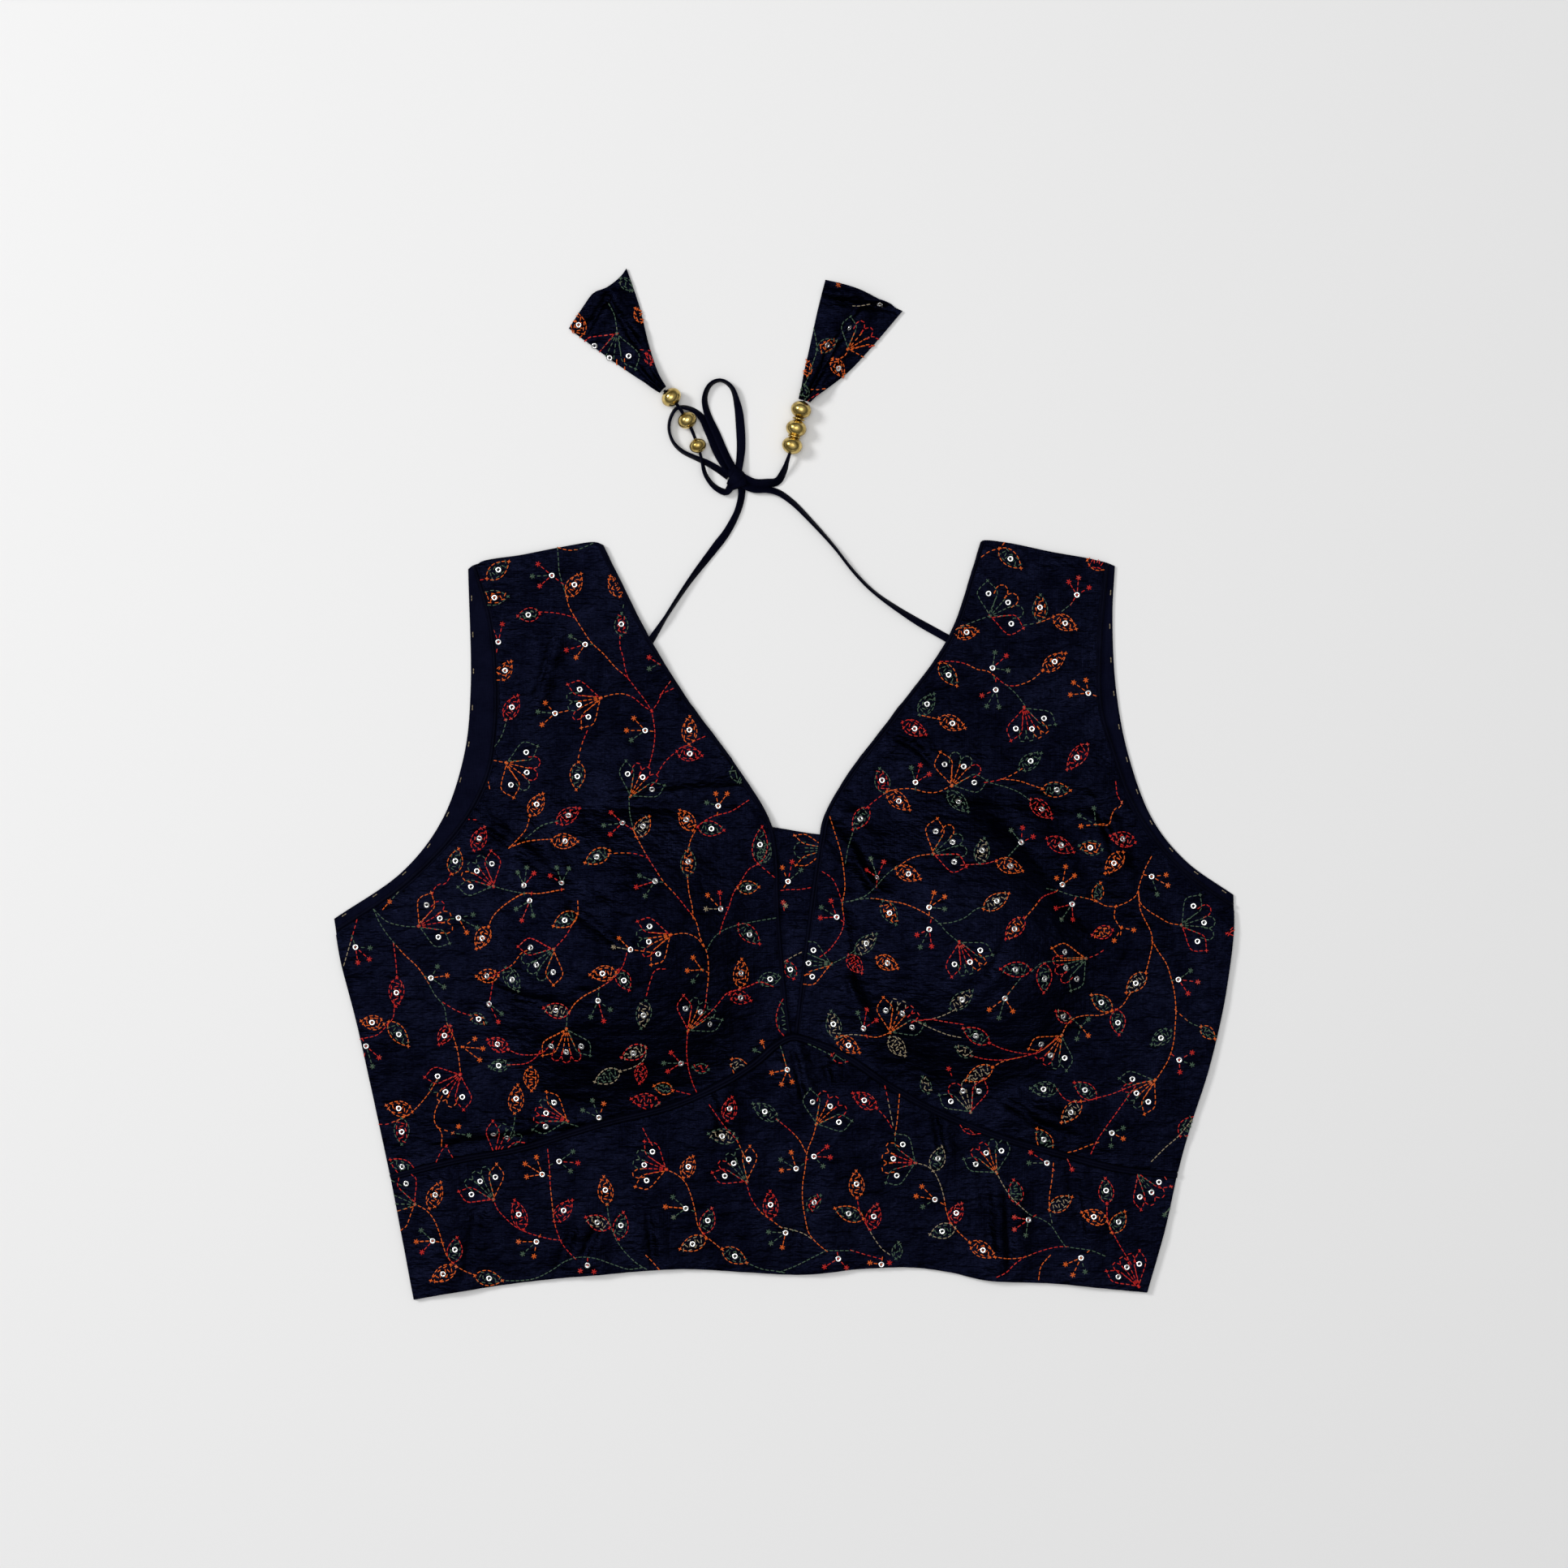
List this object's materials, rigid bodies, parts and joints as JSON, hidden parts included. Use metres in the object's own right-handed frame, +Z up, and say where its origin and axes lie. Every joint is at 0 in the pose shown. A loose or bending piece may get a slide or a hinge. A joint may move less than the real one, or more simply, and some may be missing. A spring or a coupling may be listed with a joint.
{
  "type": "choli blouse",
  "caption": "Sleeveless padded choli blouse laid flat, with deep V front, inset, under-bust band and tied back cords with beads and cloth tassels.",
  "frame": {"origin": "centre of the garment's outline on the surface that it lies on, at the underside of the back; the tied cords above the neck are left out of it", "axes": "+X to the right as the front is seen, +Y from the hem to the shoulders, +Z up off the surface, out of the front"},
  "size_m": [0.4432, 0.5081, 0.0289],
  "materials": {
    "silk": "satin sheen art silk with embroidery",
    "lining": "matte plain weave",
    "cord": "matte turned cord",
    "bead": "polished"
  },
  "bodies": {
    "root": {"back": "lining", "inset": "silk", "front_left": "silk", "front_right": "silk", "band": "silk", "piping_bust": "silk", "binding_armhole_left": "silk", "binding_armhole_right": "silk", "binding_neck_left": "silk", "binding_neck_right": "silk", "knot": "cord", "cord_left": "cord", "cord_right": "cord", "loop_tall": "cord", "loop_side": "cord", "tail_left": "cord", "tail_right": "cord", "bead_left_1": "bead", "bead_left_2": "bead", "bead_left_3": "bead", "bead_right_1": "bead", "bead_right_2": "bead", "bead_right_3": "bead", "tassel_left": "silk", "tassel_right": "silk"}
  },
  "joints": []
}
